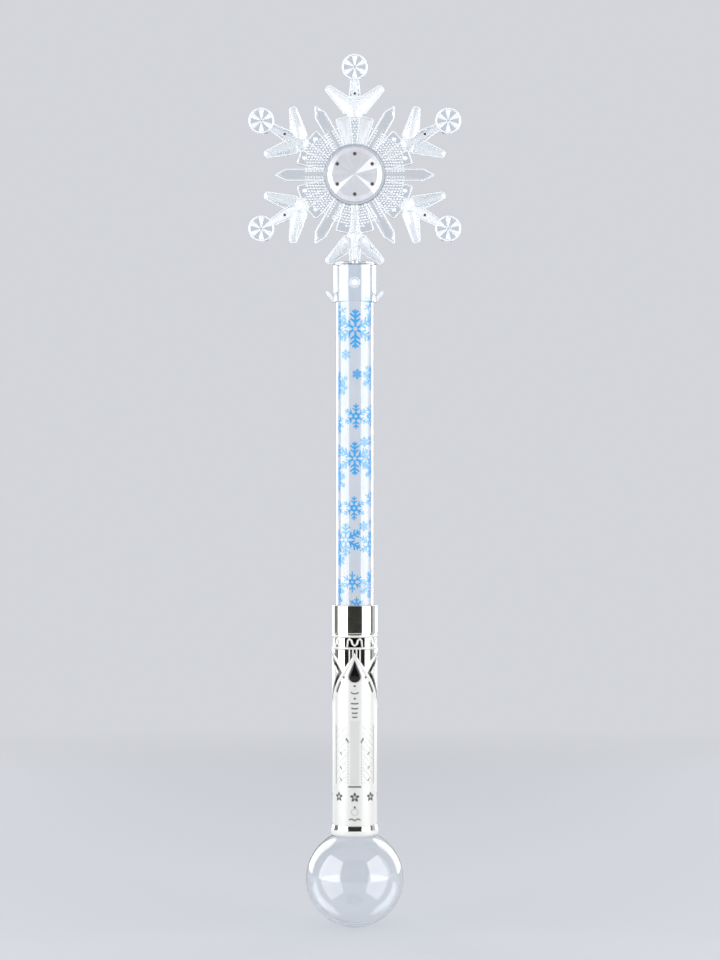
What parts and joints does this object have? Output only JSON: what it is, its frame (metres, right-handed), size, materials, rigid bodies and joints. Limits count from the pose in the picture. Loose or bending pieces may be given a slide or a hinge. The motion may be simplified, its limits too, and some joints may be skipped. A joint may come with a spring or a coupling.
{
  "type": "toy magic wand",
  "caption": "Light-up toy wand: clear snowflake head on a printed light tube, silver relief grip with a press button and a clear ball at its foot.",
  "frame": {"origin": "middle of the plain collar above the grip, on the wand's axis", "axes": "+Z along the wand to the snowflake head, +X to the right seen from the front, the front with the button faces -Y"},
  "size_m": [0.142, 0.065, 0.5832],
  "materials": {
    "clear_polystyrene": "gloss",
    "jewel_polystyrene": "gloss",
    "silver_foil": "polished",
    "printed_film": "satin",
    "plated_abs": "polished",
    "black_abs": "gloss",
    "white_abs": "matte",
    "circuit_board": "satin",
    "chip_resin": "satin",
    "lamp_resin": "gloss",
    "spring_steel": "satin",
    "screw_steel": "satin",
    "cell_steel": "satin",
    "contact_brass": "satin",
    "tab_film": "satin",
    "wire_white": "satin",
    "wire_orange": "satin",
    "wire_blue": "satin",
    "wire_black": "satin"
  },
  "bodies": {
    "wand": {"head_front": "clear_polystyrene", "head_rear": "clear_polystyrene", "front_jewel": "jewel_polystyrene", "rear_jewel": "jewel_polystyrene", "front_reflector": "silver_foil", "rear_reflector": "silver_foil", "head_board": "circuit_board", "head_leds": "lamp_resin", "light_tube": "clear_polystyrene", "printed_film": "printed_film", "tube_led_holder": "white_abs", "tube_led": "lamp_resin", "collar": "plated_abs", "grip_front": "plated_abs", "grip_rear": "plated_abs", "grip_screws": "screw_steel", "button_spring": "spring_steel", "push_switch": "chip_resin", "control_board": "circuit_board", "control_chip": "chip_resin", "cells": "cell_steel", "cell_spring": "spring_steel", "cell_contacts": "contact_brass", "pommel_ring": "plated_abs", "ball_front": "clear_polystyrene", "ball_rear": "clear_polystyrene", "ball_led_holder": "white_abs", "ball_led": "lamp_resin", "head_wires": "wire_white", "tube_led_wires": "wire_orange", "ball_led_wires": "wire_blue", "cell_wires": "wire_black"},
    "button": {"button": "black_abs"},
    "battery_door": {"battery_door": "plated_abs"},
    "door_screw": {"door_screw": "screw_steel"},
    "pull_tab": {"pull_tab": "tab_film"}
  },
  "joints": [
    {"name": "button_press", "type": "slide", "parent": "wand", "child": "button", "axis": [0, 1, 0], "range_m": [0, 0.0012], "stiffness_N_per_m": 600, "springref_m": -0.001, "deforming": ["button_spring"]},
    {"name": "battery_door_lift", "type": "slide", "parent": "wand", "child": "battery_door", "axis": [0, 1, 0], "range_m": [0, 0.025]},
    {"name": "door_screw_turn", "type": "hinge", "parent": "battery_door", "child": "door_screw", "pos_m": [0, 0.014, -0.06145], "axis": [0, 1, 0], "continuous": true},
    {"name": "pull_tab_draw", "type": "slide", "parent": "wand", "child": "pull_tab", "axis": [0, 1, 0], "range_m": [0, 0.03]}
  ]
}
